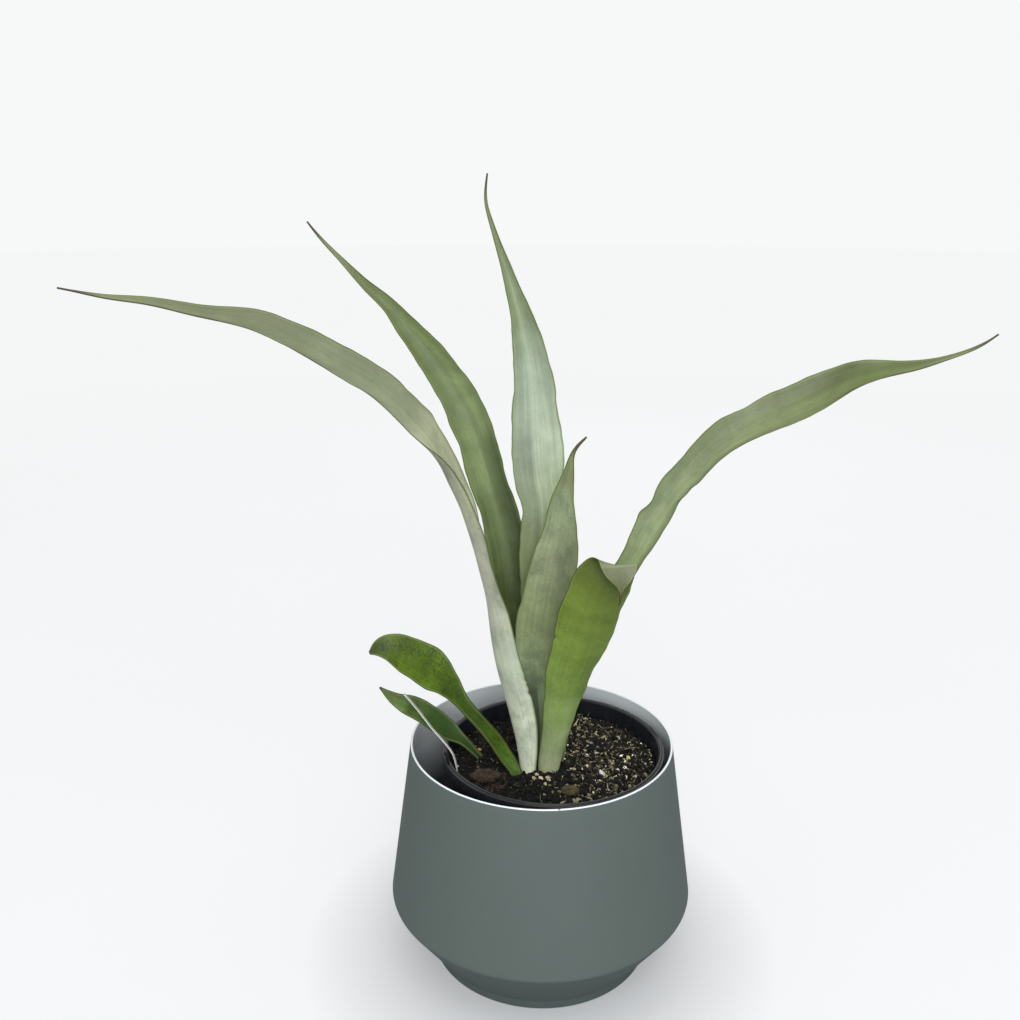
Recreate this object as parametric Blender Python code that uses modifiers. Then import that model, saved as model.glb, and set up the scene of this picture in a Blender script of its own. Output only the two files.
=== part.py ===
"""Potted snake plant: a tapered two-tone pot, the black nursery pot that stands in it, its soil,
a blank plant label, and a rosette of six long leaves with two small ones beside it.

Metres, +Z up. The origin is the centre of the outer pot's flat underside.
The tables below are in millimetres and degrees."""

import math

import bmesh
import bpy
import numpy as np
from mathutils import Vector

MM = 0.001
GAP = 0.3  # clearance between touching pieces

# Outer pot (turned about the Z axis)
POT_HEIGHT = 177.0
RIM_RADIUS = 100.0
BELLY_RADIUS = 117.5
BELLY_Z = 51.0
FOOT_RADIUS = 83.0
FOOT_TOP_RADIUS = 87.5
FOOT_TOP_Z = 9.0
POT_WALL = 1.8
POT_FLOOR = 3.0
POT_STEPS = 72

# Nursery pot (turned, standing off-centre on the outer pot's floor)
NURSERY_AXIS = (9.0, 1.0)
NURSERY_RIM_RADIUS = 85.5
NURSERY_HEIGHT = 167.0
NURSERY_BASE_RADIUS = 64.0
NURSERY_WALL = 1.5
LIP_REACH = 3.0
LIP_DEPTH = 9.0
NURSERY_STEPS = 60
DRAIN_HOLES = 6
DRAIN_RADIUS = 5.5
DRAIN_CIRCLE = 42.0
HANGER_SLOT_ANGLES = (14.0, 194.0)
HANGER_SLOT_RADIUS = 83.1
HANGER_SLOT = (1.2, 18.0, 6.0)  # radial, along the lip, upright

SOIL_DEPTH_BELOW_RIM = 14.0
SOIL_CROWN = 2.0
SLOT_GROW = 0.4  # how far a slot in the soil stands off the leaf in it
SLOT_TOP_Z = 162.0  # just above the soil: the slot ends at the first section past it
SLOT_BELOW = 0.3  # how far it reaches below the leaf's foot, as a share of the first section's length

# Leaves. Each station is (x, y, z, width, compass, tilt, hollow): the middle of the blade, its width,
# the direction from one margin to the other in plan (0 = +X, 90 = +Y) and above the horizon, and how
# deep the channel of its upper face is.
LEAVES = {
    "leaf_far_left": [
        (-9, -13, 140, 12, -35, 0, 3),
        (-10, -15, 158, 14, -35, 0, 4),
        (-11, -15, 179, 20, -38, 0, 5),
        (-14, -15, 202, 27, -42, 0, 6),
        (-21, -17, 234, 32, -48, 0, 7),
        (-33, -23, 297, 33, -64, 0, 5),
        (-45, -36, 372, 33, -86, 0, 8),
        (-61, -44, 408, 32, -92, 0, 9),
        (-76, -50, 427, 34, -94, -22, 7),
        (-98, -53, 452, 32, -94, -28, 6),
        (-130, -58, 475, 29, -95, -30, 6),
        (-164, -64, 495, 25, -95, -28, 5),
        (-188, -67, 504, 22, -92, -25, 4),
        (-212, -70, 508, 16, -90, -20, 3),
        (-245, -74, 515, 12, -90, -15, 2),
        (-296, -82, 523, 2, -90, 0, 0),
    ],
    "leaf_left": [
        (-11, 5, 140, 12, 180, 0, 3),
        (-11, 8, 171, 12, 180, 0, 3),
        (-14, 13, 207, 17, 180, 0, 4),
        (-17, 18, 246, 22, 180, 0, 6),
        (-22, 23, 291, 28, 180, 0, 8),
        (-29, 27, 337, 29, 180, 0, 9),
        (-45, 32, 392, 27, 180, 0, 9),
        (-55, 36, 421, 29, 180, 0, 8),
        (-66, 39, 441, 26, 180, 0, 7),
        (-83, 42, 466, 22, 182, 0, 6),
        (-109, 48, 497, 12, 185, 0, 4),
        (-145, 54, 531, 3, 185, 0, 1),
        (-170, 60, 558, 2, 185, 0, 0),
    ],
    "leaf_centre_tall": [
        (1, 1, 140, 12, 178, 0, 3),
        (0, 3, 176, 12, 178, 0, 4),
        (-2, 6, 230, 20, 178, 0, 4),
        (-1, 10, 277, 27, 178, 0, 6),
        (-1, 14, 323, 32, 178, 0, 7),
        (1, 17, 355, 32, 178, 0, 7),
        (-4, 22, 397, 38, 178, 0, 7),
        (-6, 27, 432, 32, 178, 0, 6),
        (-10, 32, 469, 24, 178, 0, 5),
        (-17, 36, 497, 15, 178, 0, 4),
        (-31, 44, 539, 5, 178, 0, 1.5),
        (-41, 49, 572, 2, 178, 0, 0.5),
        (-40, 53, 592, 2, 178, 0, 0),
    ],
    "leaf_centre_short": [
        (-2, -7, 140, 10, 175, 0, 3),
        (-2, -7, 158, 11, 175, 0, 3),
        (0, -7, 183, 16, 175, 0, 3),
        (-1, -6, 220, 32, 172, 0, 5),
        (0, -5, 260, 42, 170, 0, 6),
        (9, -3, 323, 33, 170, 0, 6),
        (14, -2, 369, 16, 170, 0, 4),
        (18, -1, 390, 7, 170, 0, 2),
        (30, 0, 413, 2, 170, 0, 0),
    ],
    "leaf_front_folded": [
        (5, -15, 140, 13, 5, 0, 3),
        (5, -15, 156, 16, 5, 0, 4),
        (10, -19, 192, 21, 5, 0, 6),
        (16, -24, 231, 30, 5, -8, 7),
        (25, -30, 267, 39, 5, -12, 8),
        (32, -36, 294, 43, 5, -14, 7),
        (39, -42, 319, 42, 5, -14, 5),
        (46, -46, 333, 38, 15, -15, 3),
        (49, -51, 337, 32, 14, -15, 2),
        (51, -56, 332, 22, 12, -15, 1),
        (51, -59, 318, 2, 5, -15, 0),
    ],
    "leaf_far_right": [
        (12, -4, 140, 11, 110, 0, 3),
        (13, -3, 160, 13, 112, 5, 3),
        (20, 0, 211, 16, 125, 10, 4),
        (34, 2, 261, 19, 130, 20, 6),
        (48, 3, 293, 18, 135, 25, 7),
        (65, 2, 322, 18, 135, 30, 7),
        (75, 1, 343, 24, 133, 30, 7),
        (92, -1, 375, 23, 128, 30, 8),
        (117, -5, 407, 27, 116, 26, 9),
        (155, -11, 433, 33, 106, 24, 10),
        (188, -16, 450, 34, 100, 24, 9),
        (214, -20, 463, 26, 95, 22, 7),
        (242, -24, 467, 16, 90, 15, 3),
        (268, -28, 474, 6, 90, 10, 1),
        (296, -32, 489, 2, 90, 0, 0),
    ],
    "offset_leaf_upper": [
        (-17, -20, 140, 8, -153, -30, 1.5),
        (-19, -23, 159, 9, -153, -36, 2),
        (-36, -30, 193, 11, -148, -36, 3),
        (-57, -35, 223, 11, -135, -40, 3),
        (-68, -37, 240, 21, -120, -42, 3),
        (-81, -39, 254, 30, -115, -42, 3),
        (-97, -41, 265, 29, -105, -42, 2),
        (-110, -42, 271, 21, -95, -42, 1),
        (-119, -43, 270, 11, -90, -40, 0.5),
        (-123, -43, 267, 4, -90, -40, 0),
    ],
    "offset_leaf_lower": [
        (-36, 4, 135, 5, -127, -36, 1),
        (-41, 3, 150, 5, -127, -38, 1),
        (-60, 3, 173, 8, -127, -38, 2),
        (-71, 3, 182, 16, -122, -38, 2),
        (-83, 3, 192, 18, -118, -38, 2),
        (-97, 3, 201, 17, -112, -38, 2),
        (-111, 3, 208, 11, -110, -38, 1),
        (-123, 3, 218, 2, -110, -38, 0),
    ],
}
RIB_THICKNESS = {"offset_leaf_upper": 2.4, "offset_leaf_lower": 1.8}
LEAF_RIB = 3.2
LEAF_MARGIN = 1.0
TIP_THICKNESS = 0.45  # how much of its thickness a leaf keeps at its tip
POINTS_ACROSS = 5
STEPS_PER_STATION = 2

# Plant label: a bent strip, (x, z) along its length at one depth
LABEL_LINE = [(-58, 138), (-64, 156), (-67, 169), (-73, 179), (-83, 192), (-91, 204), (-103, 220)]
LABEL_Y = -12.0
LABEL_WIDTH = 13.0
LABEL_THICKNESS = 0.9
LABEL_TILT = 20.0

# Rhizome: the underground stem that every leaf grows from, as (x, y, z, radius)
RHIZOME = [(-43, -4, 129, 3), (-36, -5, 131, 7), (-16, -9, 130, 8.5), (2, -6, 130, 8.5), (13, -3, 128, 4)]

COLOURS = {
    "pot": ((0.13, 0.165, 0.16), 0.55, 0.0),
    "nursery": ((0.012, 0.013, 0.016), 0.4, 0.0),
    "soil": ((0.05, 0.035, 0.025), 0.95, 0.0),
    "bark": ((0.35, 0.24, 0.15), 0.9, 0.0),
    "peat": ((0.12, 0.06, 0.04), 0.95, 0.0),
    "label": ((0.85, 0.86, 0.87), 0.35, 0.0),
    "rhizome": ((0.45, 0.33, 0.18), 0.7, 0.0),
    "silver_leaf": ((0.35, 0.45, 0.30), 0.45, 0.0),
    "green_leaf": ((0.12, 0.25, 0.04), 0.4, 0.0),
}


def clear_scene():
    for obj in list(bpy.data.objects):
        bpy.data.objects.remove(obj, do_unlink=True)


def collection(name):
    made = bpy.data.collections.new(name)
    bpy.context.scene.collection.children.link(made)
    return made


def material(name):
    colour, roughness, metallic = COLOURS[name]
    made = bpy.data.materials.new(name)
    made.use_nodes = True
    shader = made.node_tree.nodes["Principled BSDF"]
    shader.inputs["Base Color"].default_value = (*colour, 1.0)
    shader.inputs["Roughness"].default_value = roughness
    shader.inputs["Metallic"].default_value = metallic
    return made


def add_object(name, mesh, where, finish=None, location=(0.0, 0.0, 0.0)):
    obj = bpy.data.objects.new(name, mesh)
    obj.location = [value * MM for value in location]
    where.objects.link(obj)
    if finish:
        mesh.materials.append(finish)
        mesh.shade_smooth()
        mesh.set_sharp_from_angle(angle=math.radians(35))
    return obj


def mesh_of(name, points, faces=(), edges=()):
    mesh = bpy.data.meshes.new(name)
    mesh.from_pydata([tuple(v * MM for v in point) for point in points], list(edges), list(faces))
    return mesh


def fillet(before, corner, after, radius, steps):
    """Points of the arc that rounds a corner of a profile."""
    corner = Vector(corner)
    into = (Vector(before) - corner).normalized()
    out = (Vector(after) - corner).normalized()
    half = into.angle(out) / 2
    centre = corner + (into + out).normalized() * (radius / math.sin(half))
    first = corner + into * (radius / math.tan(half)) - centre
    last = corner + out * (radius / math.tan(half)) - centre
    turn = math.atan2(first.x * last.y - first.y * last.x, first.dot(last))
    arc = []
    for step in range(steps + 1):
        angle = turn * step / steps
        cos, sin = math.cos(angle), math.sin(angle)
        arc.append((centre.x + first.x * cos - first.y * sin, centre.y + first.x * sin + first.y * cos))
    return arc


def rounded(corners):
    """A profile from (r, z, radius, arc steps) corners. Those with no radius stay sharp."""
    points = []
    for index, (r, z, radius, steps) in enumerate(corners):
        if radius:
            before = corners[index - 1][:2]
            after = corners[index + 1][:2]
            points += fillet(before, (r, z), after, radius, steps)
        else:
            points.append((r, z))
    return points


def turned(name, profile, steps, where, finish=None, location=(0.0, 0.0, 0.0)):
    points = [(r, 0.0, z) for r, z in profile]
    edges = [(i, i + 1) for i in range(len(points) - 1)]
    obj = add_object(name, mesh_of(name, points, edges=edges), where, finish, location)
    screw = obj.modifiers.new("turn", "SCREW")
    screw.steps = steps
    screw.render_steps = steps
    screw.use_merge_vertices = True
    screw.merge_threshold = 0.0001
    screw.use_smooth_shade = True
    return obj


def cut(obj, cutter):
    cutter.hide_render = True
    cutter.display_type = "WIRE"
    difference = obj.modifiers.new("cut_" + cutter.name, "BOOLEAN")
    difference.operation = "DIFFERENCE"
    difference.object = cutter


def smooth_rows(rows, steps):
    """A Catmull-Rom curve through rows of numbers."""
    rows = np.array(rows, float)
    padded = np.vstack([2 * rows[0] - rows[1], rows, 2 * rows[-1] - rows[-2]])
    curve = []
    for a, b, c, d in zip(padded, padded[1:], padded[2:], padded[3:]):
        for step in range(steps):
            t = step / steps
            bend = (2 * a - 5 * b + 4 * c - d) * t + (3 * b - a - 3 * c + d) * t * t
            curve.append(b + 0.5 * t * (c - a + bend))
    curve.append(rows[-1])
    return np.array(curve)


def unit(vectors):
    return vectors / np.linalg.norm(vectors, axis=-1, keepdims=True)


def blade_sections(stations, steps, rib, margin, grow=0.0):
    """Closed cross-sections of a channelled blade: over its upper face, then back under it."""
    rows = smooth_rows(stations, steps)
    spine = rows[:, :3]
    along = unit(np.gradient(spine, axis=0))
    compass, tilt = np.radians(rows[:, 4]), np.radians(rows[:, 5])
    across = np.stack([np.cos(compass) * np.cos(tilt), np.sin(compass) * np.cos(tilt), np.sin(tilt)], -1)
    across = unit(across - (across * along).sum(1, keepdims=True) * along)
    upward = np.cross(along, across)
    share = np.linspace(0.0, 1.0, len(rows))
    fade = 1.0 - (1.0 - TIP_THICKNESS) * share**2
    sections = []
    for place, side, up, row, thin in zip(spine, across, upward, rows, fade):
        half, hollow = row[3] / 2, row[6]
        upper, lower = [], []
        for u in np.linspace(-1.0, 1.0, POINTS_ACROSS):
            middle = place + side * half * u - up * hollow * (1 - u * u)
            normal = unit(up * half - side * 2 * hollow * u)
            thick = (margin + (rib - margin) * (1 - u * u)) * thin / 2 + grow
            outward = side * (u * grow)
            upper.append(middle + normal * thick + outward)
            lower.append(middle - normal * thick + outward)
        sections.append(lower + upper[::-1])
    return sections


def loft(name, sections):
    """A closed skin over the sections, capped at both ends."""
    count = len(sections[0])
    points = [point for section in sections for point in section]
    faces = []
    for ring in range(len(sections) - 1):
        for k in range(count):
            near, far = ring * count, (ring + 1) * count
            step = (k + 1) % count
            faces.append((near + k, near + step, far + step, far + k))
    half = count // 2
    last = (len(sections) - 1) * count
    for k in range(half - 1):
        faces.append((count - 1 - k, count - 2 - k, k + 1, k))
        faces.append((last + k, last + k + 1, last + count - 2 - k, last + count - 1 - k))
    return mesh_of(name, points, faces)


def leaf_sections(name, grow=0.0):
    rib = RIB_THICKNESS.get(name, LEAF_RIB)
    return blade_sections(LEAVES[name], STEPS_PER_STATION, rib, LEAF_MARGIN, grow)


def slot_through(name, sections):
    """A cutter round the part of a piece that the soil holds, carried on a little below its foot."""
    below = sum(min(point[2] for point in section) < SLOT_TOP_Z for section in sections)
    foot = [end + (end - inner) * SLOT_BELOW for end, inner in zip(sections[0], sections[1])]
    return loft(name, [foot] + sections[1 : below + 1])


def pot_profile():
    taper = (BELLY_RADIUS - RIM_RADIUS) / (POT_HEIGHT - BELLY_Z)
    inner_rim = RIM_RADIUS - POT_WALL
    inner_belly = BELLY_RADIUS - POT_WALL
    inner_foot = FOOT_RADIUS + 1.0
    edge = 0.7
    return rounded([
        (0.0, POT_FLOOR, 0, 0),
        (inner_foot, POT_FLOOR, 5.0, 3),
        (FOOT_TOP_RADIUS - 1.65, FOOT_TOP_Z + 0.8, 2.0, 2),
        (inner_belly, BELLY_Z + 1.0, 3.0, 2),
        (inner_rim, POT_HEIGHT, edge, 2),
        (RIM_RADIUS - taper * edge, POT_HEIGHT, edge, 2),
        (BELLY_RADIUS, BELLY_Z, 4.0, 4),
        (FOOT_TOP_RADIUS, FOOT_TOP_Z, 2.5, 2),
        (FOOT_RADIUS + 2.0, 0.0, 2.0, 3),
        (0.0, 0.0, 0, 0),
    ])


def nursery_wall_radius(z):
    """Outer radius of the nursery pot's wall at a height above its own base."""
    top = NURSERY_RIM_RADIUS - LIP_REACH
    return NURSERY_BASE_RADIUS + (top - NURSERY_BASE_RADIUS) * z / NURSERY_HEIGHT


def nursery_profile():
    top = NURSERY_HEIGHT
    lip_z = top - LIP_DEPTH
    wall_at_lip = nursery_wall_radius(lip_z)
    inner_top = nursery_wall_radius(top) - NURSERY_WALL
    inner_base = NURSERY_BASE_RADIUS - NURSERY_WALL
    return rounded([
        (0.0, NURSERY_WALL, 0, 0),
        (inner_base, NURSERY_WALL, 2.0, 2),
        (inner_top, top, 0.6, 2),
        (NURSERY_RIM_RADIUS, top, 1.2, 3),
        (NURSERY_RIM_RADIUS - 0.6, lip_z, 0, 0),
        (NURSERY_RIM_RADIUS - 1.6, lip_z, 0, 0),
        (NURSERY_RIM_RADIUS - 1.6, top - 2.0, 0, 0),
        (wall_at_lip + 0.9, top - 2.0, 0, 0),
        (wall_at_lip, lip_z, 0, 0),
        (NURSERY_BASE_RADIUS, 0.0, 2.0, 2),
        (0.0, 0.0, 0, 0),
    ])


def build_outer_pot(parts):
    return turned("outer_pot", pot_profile(), POT_STEPS, parts, material("pot"))


def cylinder_cutter(name, radius, height, centre, cutters):
    mesh = bpy.data.meshes.new(name)
    shape = bmesh.new()
    bmesh.ops.create_cone(
        shape, cap_ends=True, segments=14, radius1=radius * MM, radius2=radius * MM, depth=height * MM
    )
    shape.to_mesh(mesh)
    shape.free()
    return add_object(name, mesh, cutters, location=centre)


def box_cutter(name, size, centre, turn, cutters):
    mesh = bpy.data.meshes.new(name)
    shape = bmesh.new()
    bmesh.ops.create_cube(shape, size=1.0)
    bmesh.ops.scale(shape, vec=[value * MM for value in size], verts=shape.verts)
    shape.to_mesh(mesh)
    shape.free()
    obj = add_object(name, mesh, cutters, location=centre)
    obj.rotation_euler.z = turn
    return obj


def build_nursery_pot(parts, cutters):
    base_z = POT_FLOOR + GAP
    cx, cy = NURSERY_AXIS
    pot = turned(
        "nursery_pot", nursery_profile(), NURSERY_STEPS, parts, material("nursery"), (cx, cy, base_z)
    )
    for index in range(DRAIN_HOLES):
        angle = 2 * math.pi * index / DRAIN_HOLES
        centre = (cx + DRAIN_CIRCLE * math.cos(angle), cy + DRAIN_CIRCLE * math.sin(angle), base_z)
        cut(pot, cylinder_cutter(f"drain_{index}", DRAIN_RADIUS, 10.0, centre, cutters))
    for index, degrees in enumerate(HANGER_SLOT_ANGLES):
        angle = math.radians(degrees)
        reach = HANGER_SLOT_RADIUS
        centre = (cx + reach * math.cos(angle), cy + reach * math.sin(angle), base_z + NURSERY_HEIGHT)
        cut(pot, box_cutter(f"hanger_{index}", HANGER_SLOT, centre, angle, cutters))
    return pot


def soil_profile():
    floor = POT_FLOOR + GAP + NURSERY_WALL + GAP
    top = POT_FLOOR + GAP + NURSERY_HEIGHT - SOIL_DEPTH_BELOW_RIM
    inset = NURSERY_WALL + GAP
    top_radius = nursery_wall_radius(NURSERY_HEIGHT - SOIL_DEPTH_BELOW_RIM) - inset
    base_radius = NURSERY_BASE_RADIUS - inset
    return rounded([
        (0.0, top + SOIL_CROWN, 0, 0),
        (top_radius * 0.35, top + SOIL_CROWN, 0, 0),
        (top_radius * 0.7, top + SOIL_CROWN * 0.7, 0, 0),
        (top_radius - 1.0, top - 0.5, 0, 0),
        (top_radius, top - 2.0, 0, 0),
        (base_radius, floor, 3.0, 2),
        (0.0, floor, 0, 0),
    ])


def rhizome_mesh(name, grow=0.0):
    sides = 10
    rows = smooth_rows(RHIZOME, 3)
    along = unit(np.gradient(rows[:, :3], axis=0))
    sections = []
    for (x, y, z, radius), direction in zip(rows, along):
        side = unit(np.cross(direction, (0.0, 0.0, 1.0)))
        up = np.cross(direction, side)
        ring = []
        for k in range(sides):
            angle = 2 * math.pi * k / sides
            reach = radius + grow
            ring.append(np.array((x, y, z)) + reach * (side * math.cos(angle) + up * math.sin(angle)))
        sections.append(ring)
    sections[0] = [point - along[0] * grow for point in sections[0]]
    sections[-1] = [point + along[-1] * grow for point in sections[-1]]
    return loft(name, sections)


def label_sections(grow=0.0):
    rows = smooth_rows([(x, 0.0, z) for x, z in LABEL_LINE], 3)
    along = unit(np.gradient(rows, axis=0))
    half_width = LABEL_WIDTH / 2 + grow
    half_thick = LABEL_THICKNESS / 2 + grow
    tilt = math.radians(LABEL_TILT)
    depth = np.array((0.0, math.cos(tilt), -math.sin(tilt)))
    sections = []
    for index, (place, direction) in enumerate(zip(rows, along)):
        taper = min(1.0, 0.35 + 0.22 * index) if not grow else 1.0
        centre = place + np.array((0.0, LABEL_Y, 0.0))
        side = depth * half_width * taper
        face = unit(np.cross(direction, depth)) * half_thick
        sections.append([centre - side - face, centre + side - face, centre + side + face, centre - side + face])
    return sections


def build_soil(parts, cutters):
    soil = turned("soil", soil_profile(), NURSERY_STEPS, parts, material("soil"), (*NURSERY_AXIS, 0.0))
    cut(soil, add_object("rhizome_pocket", rhizome_mesh("rhizome_pocket", SLOT_GROW), cutters))
    held = {name: leaf_sections(name, SLOT_GROW) for name in LEAVES}
    held["plant_label"] = label_sections(SLOT_GROW)
    for name, sections in held.items():
        slot = slot_through(name + "_slot", sections)
        cut(soil, add_object(slot.name, slot, cutters))
    return soil


def lump(name, size, centre, turn, parts, finish, seed):
    """A rough little clod: an ico sphere whose corners are pushed in and out."""
    random = np.random.default_rng(seed)
    mesh = bpy.data.meshes.new(name)
    shape = bmesh.new()
    bmesh.ops.create_icosphere(shape, subdivisions=2, radius=0.5)
    for vert in shape.verts:
        vert.co *= 1.0 + random.uniform(-0.12, 0.06)
        vert.co = Vector(value * length * MM for value, length in zip(vert.co, size))
    shape.to_mesh(mesh)
    shape.free()
    obj = add_object(name, mesh, parts, finish, centre)
    obj.rotation_euler.z = math.radians(turn)
    return obj


def build_leaves(parts):
    silver, green = material("silver_leaf"), material("green_leaf")
    for name in LEAVES:
        finish = green if name.startswith("offset") else silver
        add_object(name, loft(name, leaf_sections(name)), parts, finish)


def main():
    clear_scene()
    parts = collection("potted_snake_plant")
    cutters = collection("cutters")
    build_outer_pot(parts)
    build_nursery_pot(parts, cutters)
    build_soil(parts, cutters)
    build_leaves(parts)
    add_object("rhizome", rhizome_mesh("rhizome"), parts, material("rhizome"))
    add_object("plant_label", loft("plant_label", label_sections()), parts, material("label"))
    lump("peat_clump", (24, 15, 8), (-42, -30, 162.0), 15, parts, material("peat"), 3)
    lump("bark_chip", (14, 10, 6), (19, -49, 161.4), 20, parts, material("bark"), 5)


main()
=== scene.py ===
"""Looks of the potted snake plant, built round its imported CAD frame. Metres, +Z up."""

import math

import bmesh
import bpy
import numpy as np
from mathutils import Matrix, Quaternion, Vector, noise


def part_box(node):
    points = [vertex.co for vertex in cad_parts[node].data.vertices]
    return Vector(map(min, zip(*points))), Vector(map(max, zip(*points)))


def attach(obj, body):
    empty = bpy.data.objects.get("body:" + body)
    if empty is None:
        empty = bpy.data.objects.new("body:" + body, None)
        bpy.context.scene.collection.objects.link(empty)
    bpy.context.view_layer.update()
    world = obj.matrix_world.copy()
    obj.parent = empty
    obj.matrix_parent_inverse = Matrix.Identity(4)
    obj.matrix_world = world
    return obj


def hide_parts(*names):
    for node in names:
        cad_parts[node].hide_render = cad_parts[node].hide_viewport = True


MM = 0.001
SHARP = math.radians(40)

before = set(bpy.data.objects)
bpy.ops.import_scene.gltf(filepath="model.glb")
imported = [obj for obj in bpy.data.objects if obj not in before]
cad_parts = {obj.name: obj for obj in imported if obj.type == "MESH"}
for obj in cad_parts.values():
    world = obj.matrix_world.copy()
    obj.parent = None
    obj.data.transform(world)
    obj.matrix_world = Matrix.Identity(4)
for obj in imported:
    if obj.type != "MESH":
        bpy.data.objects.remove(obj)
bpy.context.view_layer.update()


# -------- small tools


def rgb(red, green, blue):
    """Linear colour from 0-255 sRGB."""
    values = np.array((red, green, blue)) / 255.0
    linear = np.where(values <= 0.04045, values / 12.92, ((values + 0.055) / 1.055) ** 2.4)
    return (*linear.tolist(), 1.0)


def unit(vectors):
    """The vectors at length one."""
    return vectors / np.maximum(np.linalg.norm(vectors, axis=-1, keepdims=True), 1e-12)


def smoothstep(low, high, value):
    """Rises smoothly from 0 at low to 1 at high."""
    t = np.clip((value - low) / (high - low), 0.0, 1.0)
    return t * t * (3 - 2 * t)


def piece(name, points_mm, faces, material, smooth=True, nodes=()):
    """A mesh object made from millimetre points, riding on the row's one body."""
    mesh = bpy.data.meshes.new(name)
    points = np.asarray(points_mm, float) * MM
    mesh.from_pydata(points.tolist(), [], [list(map(int, face)) for face in faces])
    if smooth:
        mesh.shade_smooth()
    for one in material if isinstance(material, (list, tuple)) else [material]:
        mesh.materials.append(one)
    obj = show(name, mesh)
    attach(obj, "root")
    if nodes:
        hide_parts(*nodes)
    return obj


def show(name, data, place=(0.0, 0.0, 0.0)):
    """Puts a new object into the scene."""
    obj = bpy.data.objects.new(name, data)
    obj.location = place
    bpy.context.scene.collection.objects.link(obj)
    return obj


def attribute(obj, name, values, colour=False):
    """Stores a number or a colour at each point of a piece."""
    layer = obj.data.attributes.new(name, "FLOAT_COLOR" if colour else "FLOAT", "POINT")
    layer.data.foreach_set("color" if colour else "value", np.asarray(values, np.float32).ravel())


# -------- node materials


class Nodes:
    """Shorthand for building the nodes of one material, or of the world."""

    def __init__(self, name, store="materials"):
        self.owner = getattr(bpy.data, store).new(name)
        self.owner.use_nodes = True
        self.tree = self.owner.node_tree
        self.shader = self.tree.nodes.get("Principled BSDF")

    def put(self, socket, value):
        """Links a socket or sets its value. None leaves it alone."""
        if isinstance(value, bpy.types.NodeSocket):
            self.tree.links.new(value, socket)
        elif value is not None:
            socket.default_value = value

    def add(self, kind, *inputs, **settings):
        """A new node with its settings, and its inputs in their order."""
        node = self.tree.nodes.new("ShaderNode" + kind)
        for key, value in settings.items():
            setattr(node, key, value)
        for socket, value in zip(node.inputs, inputs):
            self.put(socket, value)
        return node

    def read(self, name, output="Fac"):
        return self.add("Attribute", attribute_name=name).outputs[output]

    def place(self):
        return self.add("TexCoord").outputs["Object"]

    def math(self, operation, *values):
        return self.add("Math", *values, operation=operation).outputs[0]

    def times(self, a, b):
        return self.math("MULTIPLY", a, b)

    def combine(self, *values):
        return self.add("CombineXYZ", *values).outputs[0]

    def noise(self, vector, scale, detail=3.0, rough=0.5):
        return self.add("TexNoise", vector, None, scale, detail, rough).outputs["Fac"]

    def span(self, value, low, high, out_low=0.0, out_high=1.0):
        """Maps low..high to out_low..out_high, held at both ends."""
        return self.add("MapRange", value, low, high, out_low, out_high, clamp=True).outputs[0]

    def ramp(self, value, stops):
        node = self.add("ValToRGB", value)
        curve = node.color_ramp
        curve.interpolation = "EASE"
        while len(curve.elements) < len(stops):
            curve.elements.new(0.5)
        for element, (place, colour) in zip(curve.elements, stops):
            element.position = place
            element.color = colour
        return node.outputs[0]

    def mix(self, factor, a, b, blend="MIX"):
        unused = [None] * 5
        return self.add("Mix", factor, *unused, a, b, data_type="RGBA", blend_type=blend).outputs[2]

    def vector(self, operation, *values):
        return self.add("VectorMath", *values, operation=operation)

    def split(self, vector):
        return self.add("SeparateXYZ", vector).outputs

    def scale_colour(self, colour, factor):
        """The colour times a number from a socket."""
        return self.vector("SCALE", colour, None, None, factor).outputs[0]

    def bump(self, height, strength, distance, normal=None):
        node = self.add("Bump")
        values = {"Height": height, "Strength": strength, "Distance": distance, "Normal": normal}
        for key, value in values.items():
            self.put(node.inputs[key], value)
        return node.outputs[0]

    def finish(self, colour, roughness, normal=None, **constants):
        values = {"Base Color": colour, "Roughness": roughness, "Normal": normal, **constants}
        for key, value in values.items():
            self.put(self.shader.inputs[key.replace("_", " ")], value)
        return self.owner


# -------- camera, light, floor

CAMERA_AT = (-0.024, -0.730, 0.577)
CAMERA_DOWN = 16.6
LENS = 37.41


def build_camera():
    data = bpy.data.cameras.new("camera")
    data.lens = LENS
    data.sensor_width = 36.0
    camera = show("camera", data, CAMERA_AT)
    camera.rotation_euler = (math.radians(90 - CAMERA_DOWN), 0.0, 0.0)
    bpy.context.scene.camera = camera


def area_light(name, place, aim, size, power, colour):
    data = bpy.data.lights.new(name, "AREA")
    data.shape = "DISK"
    data.size = size
    data.energy = power
    data.color = colour
    lamp = show(name, data, place)
    direction = Vector(aim) - Vector(place)
    lamp.rotation_euler = direction.to_track_quat("-Z", "Y").to_euler()


# Name, place, what it is aimed at, diameter, watts and colour of each lamp.
LIGHTS = [
    ("key", (-0.10, -1.60, 1.45), (0.0, 0.0, 0.3), 1.1, 14.5, (0.98, 0.99, 1.0)),
    ("side", (0.45, -1.05, 1.75), (-0.05, 0.0, 0.16), 0.6, 4.5, (0.97, 0.99, 1.0)),
    ("back", (0.3, 1.9, 1.2), (0.0, 0.0, 0.25), 1.2, 2.2, (1.0, 1.0, 1.0)),
    ("front", (0.20, -1.9, 0.75), (0.0, 0.0, 0.25), 1.0, 5.5, (0.93, 0.98, 1.0)),
]
BACKGROUND = rgb(247, 248, 248)
FILL = (1.0, 0.985, 0.93, 1.0)
FILL_STRENGTH, SKY_STRENGTH = 0.26, 1.0


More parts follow.
